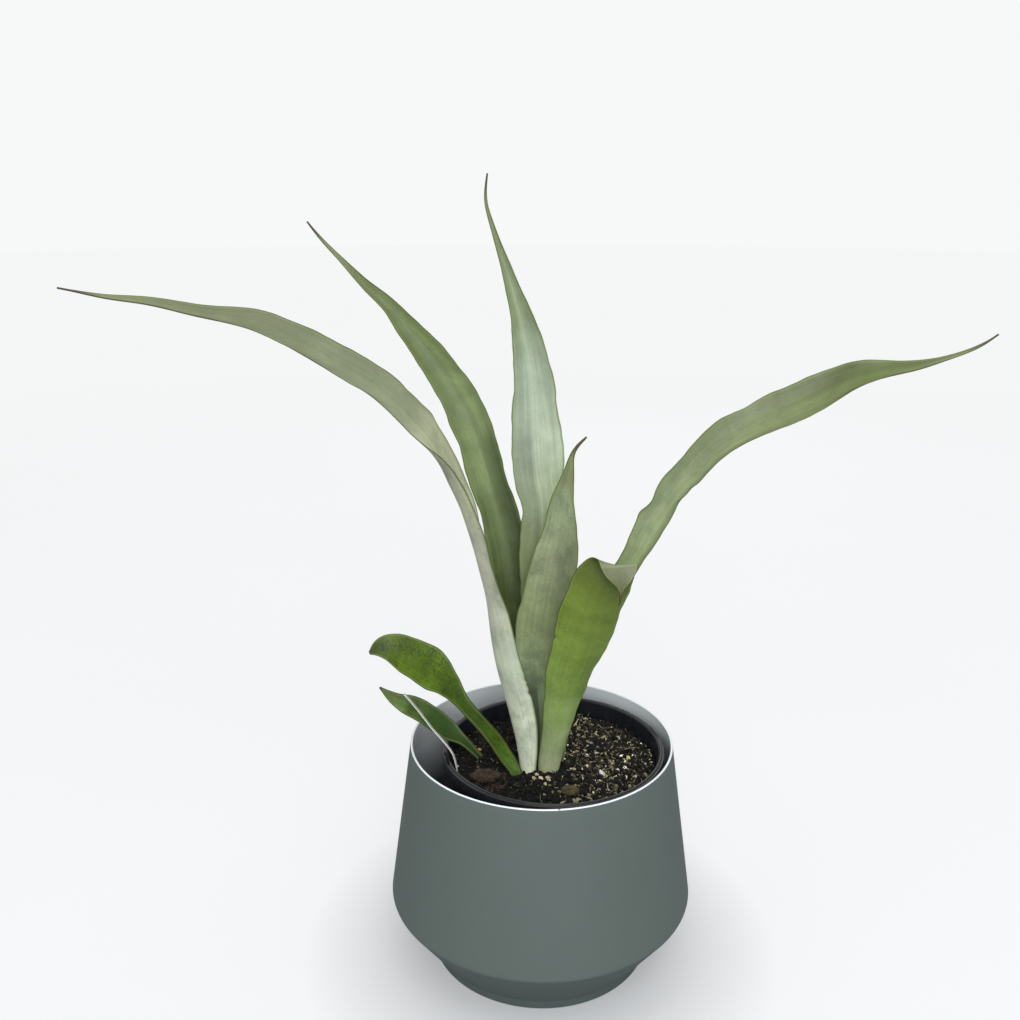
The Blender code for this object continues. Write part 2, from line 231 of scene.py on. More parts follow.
def build_world():
    """A plain backdrop for the camera, and soft light that is stronger from above."""
    nodes = Nodes("studio", "worlds")
    fill = nodes.tree.nodes["Background"]
    rise = nodes.split(nodes.add("TexCoord").outputs["Generated"])[2]
    nodes.put(fill.inputs["Color"], FILL)
    nodes.put(fill.inputs["Strength"], nodes.span(rise, 0.0, 1.0, FILL_STRENGTH, SKY_STRENGTH))
    seen = nodes.add("Background", BACKGROUND)
    ray = nodes.add("LightPath").outputs["Is Camera Ray"]
    mix = nodes.add("MixShader", ray, fill.outputs[0], seen.outputs[0])
    nodes.put(nodes.tree.nodes["World Output"].inputs["Surface"], mix.outputs[0])
    bpy.context.scene.world = nodes.owner
    bpy.context.scene.view_settings.view_transform = "Standard"


def build_floor():
    """The plain pale floor that the pot stands on."""
    nodes = Nodes("floor")
    mottle = nodes.noise(nodes.place(), 3.0)
    colour = nodes.mix(mottle, rgb(148, 151, 157), rgb(152, 155, 161))
    far = nodes.vector("LENGTH", nodes.place()).outputs["Value"]
    # Painted light: the floor glows for the camera, more away from the pot, and less in a soft ring where
    # it stands, which paints its shadow.
    glow = nodes.span(far, 0.2, 3.0, 0.62, 0.69)
    glow = nodes.math("SUBTRACT", glow, nodes.span(far, 0.09, 0.19, 0.30, 0.0))
    seen = nodes.add("LightPath").outputs["Is Camera Ray"]
    nodes.shader.inputs["Emission Color"].default_value = BACKGROUND
    nodes.put(nodes.shader.inputs["Emission Strength"], nodes.times(glow, seen))
    mesh = bpy.data.meshes.new("floor")
    shape = bmesh.new()
    bmesh.ops.create_circle(shape, cap_ends=True, segments=128, radius=12.0)
    shape.to_mesh(mesh)
    shape.free()
    mesh.materials.append(nodes.finish(colour, 0.7))
    show("floor", mesh, (0.0, 0.0, -0.0005))


# -------- leaves

# Millimetres and degrees, as in the CAD: (x, y, z, width, compass, tilt, hollow) up the blade.
LEAVES = {
    "leaf_far_left": [
        (-9, -13, 140, 12, -35, 0, 3), (-10, -15, 158, 14, -35, 0, 4), (-11, -15, 179, 20, -38, 0, 5),
        (-14, -15, 202, 27, -42, 0, 6), (-21, -17, 234, 32, -48, 0, 7), (-27, -20, 260, 33, -54, 0, 6),
        (-33, -23, 297, 33, -64, 0, 5), (-39, -29, 328, 32, -74, -6, 6), (-47, -36, 371, 34, -86, 2, 9),
        (-55, -40, 392, 32, -90, 4, 9), (-62, -44, 407, 31, -92, -1, 8), (-69, -47, 418, 32, -94, -11, 7),
        (-77, -50, 428, 34, -94, -22, 6), (-84, -51, 436, 35, -94, -26, 6),
        (-99, -53, 452, 32, -94, -29, 6), (-114, -55, 465, 31, -95, -30, 6),
        (-130, -58, 475, 29, -95, -30, 6), (-148, -61, 486, 27, -95, -30, 6),
        (-164, -64, 495, 25, -95, -28, 5), (-188, -67, 504, 22, -92, -25, 4),
        (-212, -70, 508, 16, -90, -20, 3), (-245, -74, 515, 12, -90, -15, 2),
        (-270, -78, 518, 7, -90, -10, 1), (-290, -81, 522, 3, -90, 0, 0.3),
        (-296, -82, 523, 1.4, -90, 0, 0),
    ],
    "leaf_left": [
        (-11, 5, 140, 12, 180, 0, 3), (-11, 8, 171, 12, 180, 0, 3), (-14, 13, 207, 17, 180, 0, 4),
        (-17, 18, 246, 22, 180, 0, 6), (-22, 23, 291, 28, 180, 0, 8), (-29, 27, 337, 29, 180, 0, 9),
        (-36, 29, 361, 27, 180, 0, 9), (-45, 32, 392, 27, 180, 0, 9), (-55, 36, 421, 29, 180, 0, 8),
        (-66, 39, 441, 26, 180, 0, 7), (-83, 42, 466, 22, 182, 0, 6), (-97, 45, 482, 17, 185, 0, 5),
        (-109, 48, 497, 12, 185, 0, 4), (-126, 51, 512, 8, 185, 0, 3), (-145, 54, 531, 4, 185, 0, 1),
        (-159, 57, 545, 2.4, 185, 0, 0.5), (-170, 60, 558, 1.2, 185, 0, 0),
    ],
    "leaf_centre_tall": [
        (1, 1, 140, 12, 178, 0, 3), (0, 3, 176, 12, 178, 0, 4), (-2, 6, 230, 20, 178, 0, 4),
        (-1, 10, 277, 27, 178, 0, 6), (-1, 14, 323, 32, 178, 0, 7), (1, 17, 355, 33, 178, 0, 7),
        (-2, 19, 376, 36, 178, 0, 7), (-4, 22, 397, 38, 178, 0, 7), (-6, 27, 432, 32, 178, 0, 6),
        (-10, 32, 469, 24, 178, 0, 5), (-17, 36, 497, 15, 178, 0, 4), (-23, 40, 516, 10, 178, 0, 3),
        (-31, 44, 539, 5.5, 178, 0, 1.5), (-38, 47, 560, 3, 178, 0, 1), (-41, 49, 572, 2.2, 178, 0, 0.5),
        (-40, 53, 591, 1.2, 178, 0, 0),
    ],
    "leaf_centre_short": [
        (-2, -7, 140, 10, 175, 0, 3), (-2, -7, 158, 11, 175, 0, 3), (0, -7, 183, 16, 175, 0, 3),
        (-1, -6, 220, 32, 172, 0, 5), (0, -5, 260, 42, 170, 0, 6), (4, -4, 292, 39, 170, 0, 6),
        (9, -3, 323, 33, 170, 0, 6), (12, -2, 345, 25, 170, 0, 5), (14, -2, 369, 16, 170, 0, 4),
        (18, -1, 390, 7, 170, 0, 2), (21, 0, 402, 3, 170, 0, 1), (30, 0, 413, 1.4, 170, 0, 0),
    ],
    "leaf_front_folded": [
        (5, -15, 140, 13, 5, 0, 3), (5, -15, 156, 16, 5, 0, 4), (10, -19, 192, 21, 5, 0, 6),
        (16, -24, 231, 30, 5, -8, 7), (25, -30, 267, 39, 5, -12, 8), (32, -36, 294, 43, 5, -14, 7),
        (39, -42, 319, 42, 5, -14, 5), (44, -45.5, 330.5, 39, 10, -15, 3),
        (47, -48.5, 336, 35, 12, -15, 2.2), (49, -52.5, 337, 31, 12, -15, 1.8),
        (50.3, -56, 333, 26, 12, -15, 1.2), (51, -58, 327, 16, 10, -15, 0.6),
        (51.2, -59, 321, 5, 5, -15, 0.2), (51, -59.4, 317, 2.2, 5, -15, 0),
        (50, -59.8, 310, 0.8, 5, -15, 0),
    ],
    "leaf_far_right": [
        (12, -4, 140, 11, 110, 0, 3), (13, -3, 160, 13, 112, 5, 3), (20, 0, 211, 16, 125, 10, 4),
        (34, 2, 261, 19, 130, 20, 6), (48, 3, 293, 18, 135, 25, 7), (65, 2, 322, 18, 135, 30, 7),
        (75, 1, 343, 23, 133, 30, 7), (83, 0, 359, 22, 130, 30, 8), (92, -1, 375, 23, 128, 30, 8),
        (104, -3, 391, 25, 122, 28, 9), (117, -5, 407, 27, 116, 26, 9), (134, -8, 421, 30, 110, 25, 10),
        (155, -11, 433, 33, 106, 24, 10), (188, -16, 450, 34, 100, 24, 9), (214, -20, 463, 26, 95, 22, 7),
        (242, -24, 467, 16, 90, 15, 3), (268, -28, 474, 7, 90, 10, 1), (286, -31, 482, 3.5, 90, 5, 0.5),
        (296, -32, 489, 1.4, 90, 0, 0),
    ],
    "offset_leaf_upper": [
        (-17, -20, 140, 8, -153, -30, 1.5), (-19, -23, 159, 9, -153, -36, 2),
        (-27, -26, 176, 11, -150, -36, 3), (-36, -30, 193, 11, -148, -36, 3),
        (-46, -33, 208, 10, -142, -38, 3), (-57, -35, 223, 11, -135, -40, 3),
        (-68, -37, 240, 21, -120, -42, 3), (-81, -39, 254, 30, -115, -42, 3),
        (-97, -41, 265, 29, -105, -42, 2), (-110, -42, 271, 21, -95, -42, 1),
        (-119, -43, 270, 11, -90, -40, 0.5), (-123, -43, 267, 3, -90, -40, 0),
    ],
    "offset_leaf_lower": [
        (-36, 4, 135, 5, -127, -36, 1), (-41, 3, 150, 5, -127, -38, 1), (-50, 3, 162, 6, -127, -38, 1.5),
        (-60, 3, 173, 8, -127, -38, 2), (-71, 3, 182, 16, -122, -38, 2), (-83, 3, 192, 18, -118, -38, 2),
        (-97, 3, 201, 17, -112, -38, 2), (-111, 3, 208, 11, -110, -38, 1),
        (-123, 3, 218, 1.6, -110, -38, 0),
    ],
}
RIB = {"offset_leaf_upper": 2.2, "offset_leaf_lower": 1.7}
LEAF_RIB = 3.0
LEAF_MARGIN = 0.7
ROWS = 220
ACROSS = 29


def natural_spline(knots, values, where):
    """Cubic through the values with no bend at its ends."""
    step = np.diff(knots)
    count = len(knots)
    system = np.zeros((count, count))
    right = np.zeros((count, values.shape[1]))
    system[0, 0] = system[-1, -1] = 1.0
    for i in range(1, count - 1):
        system[i, i - 1 : i + 2] = step[i - 1], 2 * (step[i - 1] + step[i]), step[i]
        slopes = (values[i + 1] - values[i]) / step[i] - (values[i] - values[i - 1]) / step[i - 1]
        right[i] = 6 * slopes
    bend = np.linalg.solve(system, right)
    i = np.clip(np.searchsorted(knots, where) - 1, 0, count - 2)
    h = step[i][:, None]
    a = (knots[i + 1] - where)[:, None]
    b = (where - knots[i])[:, None]
    straight = (values[i] / h - bend[i] * h / 6) * a + (values[i + 1] / h - bend[i + 1] * h / 6) * b
    return (bend[i] * a**3 + bend[i + 1] * b**3) / (6 * h) + straight


def steady_spline(knots, values, where):
    """Cubic that never overshoots its values."""
    step = np.diff(knots)[:, None]
    slope = np.diff(values, axis=0) / step
    tangent = np.zeros_like(values)
    tangent[0], tangent[-1] = slope[0], slope[-1]
    same = slope[:-1] * slope[1:] > 0
    weight_a, weight_b = 2 * step[1:] + step[:-1], step[1:] + 2 * step[:-1]
    with np.errstate(divide="ignore", invalid="ignore"):
        mean = (weight_a + weight_b) / (weight_a / slope[:-1] + weight_b / slope[1:])
    tangent[1:-1] = np.where(same, mean, 0.0)
    i = np.clip(np.searchsorted(knots, where) - 1, 0, len(knots) - 2)
    h = step[i]
    t = (where - knots[i])[:, None] / h
    start, end = values[i], values[i + 1]
    return (
        start * (1 + 2 * t) * (1 - t) ** 2
        + end * t * t * (3 - 2 * t)
        + h * (tangent[i] * t * (1 - t) ** 2 - tangent[i + 1] * t * t * (1 - t))
    )


def distances(points):
    """How far along the line each of its points is."""
    return np.concatenate([[0.0], np.cumsum(np.linalg.norm(np.diff(points, axis=0), axis=1))])


def blade_rows(stations):
    """Distances up the blade, its spine, and (width, compass, tilt, hollow) at each of them."""
    rows = np.array(stations, float)
    knots = distances(rows[:, :3])
    where = np.linspace(0.0, knots[-1], ROWS)
    spine = natural_spline(knots, rows[:, :3], where)
    shape = steady_spline(knots, rows[:, 3:], where)
    return where, spine, shape


def tube_faces(rows, ring, start=0):
    """Quads round a closed loft of rows of points, and a cap at each end."""
    faces = []
    for near in range(start, start + (rows - 1) * ring, ring):
        for k in range(ring):
            step = (k + 1) % ring
            faces.append((near + k, near + step, near + ring + step, near + ring + k))
    last = start + (rows - 1) * ring
    faces.append(tuple(range(start + ring - 1, start - 1, -1)))
    faces.append(tuple(range(last, last + ring)))
    return faces


def waves(length, seed, sizes):
    """A sum of gentle waves along the blade, as (wavelength, height) in millimetres."""
    random = np.random.default_rng(seed)
    total = np.zeros_like(length)
    for wavelength, height in sizes:
        total += height * np.sin(2 * np.pi * (length / wavelength + random.random()))
    return total


# Nicks and bumps in a margin, in millimetres: (side -1 or 1, distance up the blade, half length, depth).
NICKS = {
    "leaf_far_left": [
        (1, 88, 2.2, 2.4), (1, 95, 1.8, 1.6), (1, 101, 1.6, 2.0), (-1, 306, 8, -2.4), (-1, 331, 4, 1.0),
    ],
    "leaf_left": [(1, 248, 16, -1.6)],
    "leaf_far_right": [
        (-1, 247, 5, 1.6), (-1, 262, 4, 1.2), (1, 223, 5, -2.0), (1, 237, 7, 1.8), (-1, 350, 26, -2.6),
    ],
    "leaf_centre_short": [(1, 78, 3, 0.7)],
    "leaf_front_folded": [(-1, 134, 2.0, 1.3)],
}
# How much of the usual ripple a leaf's margins have, and (wavelength, height) of that ripple and of the
# uneven width, in millimetres.
RIPPLE = {"leaf_far_left": 0.35}
RIPPLE_WAVES = [(61, 0.7), (34, 0.35)]
WIDTH_WAVES = [(47, 0.45), (29, 0.25), (13, 0.12)]
GROOVE_TOP, GROOVE_UNDER = 0.12, 0.18


def build_leaf(name, material, seed):
    """One blade, lofted along its spine, with each point's place on the blade stored for its skin."""
    length, spine, shape = blade_rows(LEAVES[name])
    width, hollow = shape[:, 0], shape[:, 3]
    compass, tilt = np.radians(shape[:, 1]), np.radians(shape[:, 2])
    along = unit(np.gradient(spine, axis=0))
    across = np.stack([np.cos(compass) * np.cos(tilt), np.sin(compass) * np.cos(tilt), np.sin(tilt)], -1)
    across = unit(across - (across * along).sum(1, keepdims=True) * along)
    upward = np.cross(along, across)
    share = length / length[-1]
    fade = 1.0 - 0.6 * share**2
    calm = np.clip(width / 30.0, 0.0, 1.0) * smoothstep(0.12, 0.3, share)
    edges = {side: waves(length, seed + 7 * (side > 0), WIDTH_WAVES) * calm for side in (-1, 1)}
    for side, place, half, depth in NICKS.get(name, ()):
        edges[side] -= depth * np.exp(-(((length - place) / half) ** 2))
    calm = calm * RIPPLE.get(name, 1.0)
    ripple = {side: waves(length, seed + 31 + 5 * (side > 0), RIPPLE_WAVES) * calm for side in (-1, 1)}
    u = np.sin(np.linspace(-np.pi / 2, np.pi / 2, ACROSS))
    ring_u = np.concatenate([u, u[-2:0:-1]])
    face = np.concatenate([np.zeros(ACROSS), np.ones(ACROSS - 2)])
    ring = len(ring_u)
    points, marks = [], []
    rib = RIB.get(name, LEAF_RIB)
    groove = np.exp(-((u / 0.16) ** 2))
    for i in range(ROWS):
        half = width[i] / 2 + np.where(u < 0, edges[-1][i], edges[1][i]) * np.abs(u) ** 3
        lift = np.where(u < 0, ripple[-1][i], ripple[1][i]) * u**4
        middle = spine[i] + across[i] * (half * u)[:, None]
        middle = middle - upward[i] * (hollow[i] * (1 - u * u) - lift)[:, None]
        normal = unit(upward[i] * (width[i] / 2) - across[i] * (2 * hollow[i] * u)[:, None])
        thick = (LEAF_MARGIN + (rib - LEAF_MARGIN) * (1 - u * u)) * fade[i] / 2
        thick = thick * np.sqrt(np.clip(1 - np.abs(u) ** 24, 0.06, 1.0))
        top = middle + normal * (thick - GROOVE_TOP * groove * calm[i])[:, None]
        bottom = middle - normal * (thick + GROOVE_UNDER * groove * calm[i])[:, None]
        points.append(np.vstack([bottom, top[-2:0:-1]]))
        edge = (1 - np.abs(ring_u)) * width[i] / 2
        marks.append(np.stack([ring_u, np.full(ring, share[i]), np.full(ring, length[i]), edge, face], -1))
    faces = tube_faces(ROWS, ring)
    obj = piece(name + "_blade", np.vstack(points), faces, material, nodes=[name])
    marks = np.vstack(marks)
    for index, label in enumerate(("leaf_u", "leaf_v", "leaf_mm", "leaf_edge", "leaf_face")):
        attribute(obj, label, marks[:, index])


def leaf_material(
    name, stops, sides, seed, streaks=0.1, bands=0.1, mottle=0.1, dark=0.5, rough=0.42, lower=None,
    sides_below=None, sides_above=None, turn=(0.5, 0.6), band_rate=0.075, fold=None, tip_from=0.955,
    blotch=0.0, cracks=0.0,
):
    """A leaf's skin. stops colour it from foot to tip, and lower does so for its other face.

    sides paints light and shade across it from margin to margin. Past the turn sides_above takes over,
    and near the foot sides_below.
    """
    nodes = Nodes(name)
    u, v, mm = nodes.read("leaf_u"), nodes.read("leaf_v"), nodes.read("leaf_mm")
    edge, face = nodes.read("leaf_edge"), nodes.read("leaf_face")
    half = nodes.math("MULTIPLY_ADD", u, 0.5, 0.5)

    def tones(stops_up):
        return nodes.ramp(v, [(place, rgb(*value)) for place, *value in stops_up])

    def greys(stops_across):
        return nodes.ramp(half, [(place, (value, value, value, 1.0)) for place, value in stops_across])

    def stretched(per_width, per_mm, shift=0.0):
        """Places on the blade, for a pattern that runs along it or across it."""
        over = nodes.times(u, per_width)
        return nodes.combine(over, nodes.times(mm, per_mm), seed + shift)

    colour = tones(stops)
    if lower:
        colour = nodes.mix(face, tones(lower), colour)
    # Painted light and shade across the blade, from margin to margin.
    shade = greys(sides)
    if sides_below:
        shade = nodes.mix(nodes.span(v, 0.28, 0.37), greys(sides_below), shade)
    if sides_above:
        shade = nodes.mix(nodes.span(v, *turn), shade, greys(sides_above))
    colour = nodes.mix(1.0, colour, shade, "MULTIPLY")
    # Long streaks that run with the veins, and irregular zigzag bands across the blade.
    vein = nodes.noise(stretched(9.0, 0.012), 1.0, 5.0, 0.62)
    fine = nodes.noise(stretched(34.0, 0.02), 1.0, 2.0)
    wander = nodes.noise(stretched(2.4, 0.03, 3.0), 1.0, 2.0)
    crosswise = nodes.math("MULTIPLY_ADD", wander, 1.6, nodes.times(mm, band_rate))
    band = nodes.noise(nodes.combine(nodes.times(u, 0.35), crosswise, seed + 9.0), 1.0, 3.0, 0.6)
    cloud = nodes.noise(nodes.place(), 38.0, 4.0, 0.6)
    grain = nodes.noise(nodes.place(), 1200.0, 2.0)
    patterns = [
        (vein, 0.2, streaks), (fine, 0.2, 0.35 * streaks), (band, 0.18, bands),
        (cloud, 0.2, mottle), (grain, 0.2, 0.07),
    ]
    for pattern, reach, depth in patterns:
        level = nodes.span(pattern, 0.5 - reach, 0.5 + reach, 1.0 - depth, 1.0 + depth)
        colour = nodes.scale_colour(colour, level)
    # Cloudy darker patches, and thin broken lines that run across the blade.
    patch = nodes.noise(stretched(1.3, 0.055, 21.0), 1.0, 5.0, 0.62)
    colour = nodes.mix(nodes.span(patch, 0.5, 0.66, 0.0, blotch), colour, rgb(98, 118, 88))
    if cracks:
        bent = nodes.noise(nodes.place(), 110.0, 3.0)
        bent = nodes.math("MULTIPLY_ADD", bent, 0.6, nodes.times(mm, 0.2))
        where = nodes.combine(nodes.times(u, 0.55), bent, seed + 5.0)
        cells = nodes.add("TexVoronoi", where, feature="DISTANCE_TO_EDGE")
        line = nodes.span(cells.outputs["Distance"], 0.02, 0.12, cracks, 0.0)
        line = nodes.times(line, nodes.span(patch, 0.42, 0.55, 0.0, 0.9))
        colour = nodes.mix(line, colour, rgb(38, 48, 16))
    # A few corky flecks.
    fleck = nodes.noise(stretched(5.0, 0.35, 17.0), 1.0, 1.0)
    colour = nodes.mix(nodes.span(fleck, 0.76, 0.82, 0.0, 0.45), colour, rgb(88, 92, 60))
    # The margin: a yellow-green hem with a thin dark rim.
    hem = nodes.span(edge, 0.5, 1.7, 1.0, 0.0)
    colour = nodes.mix(nodes.times(hem, 0.55), colour, rgb(142, 160, 88))
    rim = nodes.span(nodes.math("MULTIPLY_ADD", vein, 0.35, edge), 0.45, 1.05, dark, 0.0)
    colour = nodes.mix(rim, colour, rgb(48, 56, 26))
    if fold:
        crest = nodes.math("ABSOLUTE", nodes.math("SUBTRACT", v, fold))
        colour = nodes.mix(nodes.span(crest, 0.003, 0.008, 0.3, 0.0), colour, rgb(176, 182, 140))
    tip = nodes.span(v, tip_from, 0.5 * (1.0 + tip_from), 0.0, 0.85)
    colour = nodes.mix(tip, colour, rgb(74, 66, 44))
    height = nodes.math("MULTIPLY_ADD", fine, 0.4, vein)
    normal = nodes.bump(height, 0.35, 0.0006)
    normal = nodes.bump(nodes.noise(nodes.place(), 900.0, 2.0), 0.12, 0.0002, normal)
    roughness = nodes.span(vein, 0.3, 0.7, rough - 0.06, rough + 0.08)
    gloss = {"Specular_IOR_Level": 0.4, "Coat_Weight": 0.06, "Coat_Roughness": 0.35}
    return nodes.finish(colour, roughness, normal, **gloss)


# The seed of each leaf's margins, and its skin: colours from foot to tip, painted light and shade from
# margin to margin, the seed of its pattern, and what differs from the usual.
SKINS = {
    "leaf_far_left": (11, dict(
        # The palest colours at the foot are the leaf's own pale base, made paler with painted light.
        stops=[(0.0, 232, 238, 214), (0.1, 224, 233, 210), (0.2, 202, 212, 189),
            (0.36, 208, 210, 187), (0.44, 194, 199, 169), (0.52, 188, 193, 161),
            (0.6, 143, 152, 122), (0.68, 130, 139, 109), (0.78, 123, 130, 99),
            (0.95, 125, 134, 97), (1.0, 104, 110, 70)],
        sides=[(0.0, 1.14), (0.3, 1.1), (0.6, 1.07), (0.85, 1.04), (1.0, 0.98)],
        sides_above=[(0.0, 0.76), (0.3, 0.88), (0.6, 1.02), (1.0, 1.08)],
        seed=1.3, streaks=0.12, bands=0.07, mottle=0.10, dark=0.7, blotch=0.35, turn=(0.4, 0.48),
    )),
    "leaf_left": (23, dict(
        # The dark colours low on the blade are painted shade.
        stops=[(0.0, 70, 82, 44), (0.3, 72, 84, 46), (0.44, 111, 126, 82), (0.54, 126, 142, 96),
            (0.62, 133, 149, 101), (0.76, 118, 133, 85), (0.92, 118, 126, 88), (1.0, 98, 104, 62)],
        sides=[(0.0, 0.45), (0.35, 0.7), (0.62, 1.12), (1.0, 1.0)],
        sides_above=[(0.0, 1.04), (0.25, 1.13), (0.5, 0.8), (0.72, 0.78), (1.0, 0.66)],
        seed=4.1, streaks=0.13, bands=0.11, mottle=0.10, blotch=0.25, turn=(0.53, 0.63),
    )),
    "leaf_centre_tall": (37, dict(
        stops=[(0.0, 140, 152, 108), (0.38, 158, 172, 128), (0.48, 170, 183, 152),
            (0.58, 178, 191, 168), (0.68, 168, 182, 160), (0.78, 143, 156, 122),
            (0.92, 120, 130, 100), (1.0, 96, 102, 70)],
        sides=[(0.0, 1.22), (0.3, 1.1), (0.52, 1.04), (0.64, 0.7), (0.85, 0.72), (1.0, 0.78)],
        sides_above=[(0.0, 0.92), (0.3, 1.0), (0.55, 1.14), (0.7, 1.04), (0.88, 0.86), (1.0, 0.84)],
        seed=7.7, streaks=0.17, bands=0.09, mottle=0.08, blotch=0.12, turn=(0.58, 0.68),
    )),
    "leaf_centre_short": (41, dict(
        stops=[(0.0, 176, 192, 158), (0.25, 158, 178, 142), (0.36, 150, 164, 124),
            (0.48, 138, 150, 107), (0.66, 147, 156, 123), (0.8, 154, 167, 132),
            (0.9, 132, 142, 98), (1.0, 106, 108, 66)],
        sides=[(0.0, 0.84), (0.3, 0.78), (0.5, 0.92), (0.7, 1.06), (0.88, 1.2), (1.0, 1.2)],
        sides_above=[(0.0, 1.1), (0.3, 1.2), (0.5, 1.12), (0.7, 0.95), (1.0, 1.04)],
        # sides_below paints a shadow on the foot's side beside leaf_far_left.
        sides_below=[(0.0, 1.0), (0.4, 0.95), (0.54, 0.7), (0.64, 0.25), (1.0, 0.25)],
        seed=2.9, streaks=0.13, bands=0.12, mottle=0.12, dark=0.55, tip_from=0.93, blotch=0.5, cracks=0.2,
        turn=(0.68, 0.78),
    )),
    "leaf_front_folded": (53, dict(
        stops=[(0.0, 140, 148, 118), (0.86, 122, 129, 101), (0.92, 112, 119, 90),
            (0.96, 98, 103, 68), (0.98, 92, 86, 54), (1.0, 70, 56, 36)],
        sides=[(0.0, 0.94), (0.5, 1.0), (0.85, 1.16), (1.0, 1.2)],
        lower=[(0.0, 168, 174, 136), (0.1, 178, 187, 150), (0.2, 165, 185, 131),
            (0.3, 147, 172, 104), (0.42, 127, 152, 72), (0.54, 123, 147, 60), (0.7, 115, 136, 51),
            (0.8, 98, 114, 42), (0.88, 84, 97, 36), (1.0, 88, 98, 42)],
        sides_above=[(0.0, 1.12), (0.3, 1.03), (0.5, 0.96), (0.75, 0.95), (1.0, 1.0)],
        seed=5.3, streaks=0.09, bands=0.12, mottle=0.08, dark=0.8, rough=0.38, cracks=0.25,
        turn=(0.25, 0.4), band_rate=0.11, fold=0.885,
    )),
    "leaf_far_right": (67, dict(
        stops=[(0.0, 140, 152, 112), (0.35, 146, 160, 116), (0.46, 154, 166, 128),
            (0.6, 133, 144, 107), (0.72, 122, 134, 92), (0.84, 108, 122, 70), (0.94, 112, 124, 72),
            (1.0, 88, 96, 50)],
        sides=[(0.0, 0.88), (0.3, 1.26), (0.5, 1.06), (0.7, 1.0), (0.9, 0.9), (1.0, 0.84)],
        sides_above=[(0.0, 1.1), (0.3, 1.08), (0.5, 0.97), (0.7, 0.76), (1.0, 0.66)],
        seed=6.1, streaks=0.12, bands=0.08, mottle=0.09, blotch=0.3, turn=(0.66, 0.78),
    )),
    "offset_leaf_upper": (71, dict(
        stops=[(0.0, 96, 118, 74), (0.12, 94, 126, 62), (0.2, 82, 115, 42), (0.3, 72, 97, 24),
            (0.44, 60, 84, 8), (0.56, 70, 99, 8), (0.7, 82, 111, 8), (0.85, 83, 109, 8),
            (1.0, 64, 80, 16)],
        sides=[(0.0, 1.35), (0.4, 1.25), (0.75, 0.95), (1.0, 0.65)],
        sides_above=[(0.0, 0.96), (0.3, 1.02), (0.6, 0.93), (1.0, 0.97)],
        seed=8.8, streaks=0.15, bands=0.26, mottle=0.12, dark=0.9, rough=0.36, band_rate=0.13, cracks=1.0,
        tip_from=0.99, turn=(0.28, 0.42),
    )),
    "offset_leaf_lower": (83, dict(
        stops=[(0.0, 50, 72, 40), (0.25, 42, 66, 22), (0.45, 52, 80, 16), (0.6, 57, 92, 22),
            (0.74, 76, 105, 34), (0.84, 104, 128, 68), (1.0, 100, 118, 70)],
        sides=[(0.0, 1.0), (1.0, 1.0)],
        seed=9.4, streaks=0.12, bands=0.22, mottle=0.12, dark=0.8, rough=0.38, band_rate=0.12, cracks=0.5,
        tip_from=0.975,
    )),
}


def build_leaves():
    for name, (seed, skin) in SKINS.items():
        build_leaf(name, leaf_material("skin_" + name, **skin), seed)


# -------- pots


def fillet(before, corner, after, radius, steps):
    """The arc that rounds a corner of a profile."""
    corner = Vector(corner)
    into = (Vector(before) - corner).normalized()
    out = (Vector(after) - corner).normalized()
    half = into.angle(out) / 2
    centre = corner + (into + out).normalized() * (radius / math.sin(half))
    first = corner + into * (radius / math.tan(half)) - centre
    last = corner + out * (radius / math.tan(half)) - centre
    turn = math.atan2(first.x * last.y - first.y * last.x, first.dot(last))
    return [(centre + Matrix.Rotation(turn * step / steps, 2) @ first)[:] for step in range(steps + 1)]


def rounded(corners, longest):
    """A profile of (r, z, tag) through corners of (r, z, radius, steps, tag), in short stretches."""
    points = []
    for index, (r, z, radius, steps, *tag) in enumerate(corners):
        arc = [(r, z)]
        if radius:
            arc = fillet(corners[index - 1][:2], (r, z), corners[index + 1][:2], radius, steps)
        points += [(*place, *tag) for place in arc]
    profile = [points[0]]
    for (r, z, *_), (next_r, next_z, *tag) in zip(points, points[1:]):
        count = max(1, math.ceil(math.dist((r, z), (next_r, next_z)) / longest))
        for step in range(1, count + 1):
            t = step / count
            profile.append((r + (next_r - r) * t, z + (next_z - z) * t, *tag))
    return profile


def turned_faces(rings, steps):
    """Faces of rings of points between a point at the start and one at the end, row by row."""
    turns = [(k, (k + 1) % steps) for k in range(steps)]
    last = 1 + (rings - 1) * steps
    faces = [(0, 1 + k, 1 + after) for k, after in turns]
    for near in range(1, last, steps):
        faces += [(near + k, near + steps + k, near + steps + after, near + after) for k, after in turns]
    return faces + [(last + k, last + steps, last + after) for k, after in turns]


def ring_points(r, z, steps, centre):
    cx, cy, base = centre
    angles = np.linspace(0.0, 2 * np.pi, steps, endpoint=False)
    return [(cx + r * math.cos(a), cy + r * math.sin(a), base + z) for a in angles]


def turned(profile, steps, centre):
    """Points and faces of a profile turned about an upright axis, on which it starts and ends."""
    cx, cy, base = centre
    points = [(cx, cy, base + profile[0][1])]
    for r, z, *_ in profile[1:-1]:
        points += ring_points(r, z, steps, centre)
    points.append((cx, cy, base + profile[-1][1]))
    return points, turned_faces(len(profile) - 2, steps)


POT_HEIGHT, RIM_RADIUS, BELLY_RADIUS, BELLY_Z = 177.0, 100.0, 117.5, 51.0
FOOT_RADIUS, FOOT_TOP_RADIUS, FOOT_TOP_Z = 83.0, 87.5, 9.0
POT_WALL, POT_FLOOR = 1.8, 3.0
POT_STEPS, NURSERY_STEPS = 240, 216
CHIP_AT = (0.0094, -0.0989, 0.177)


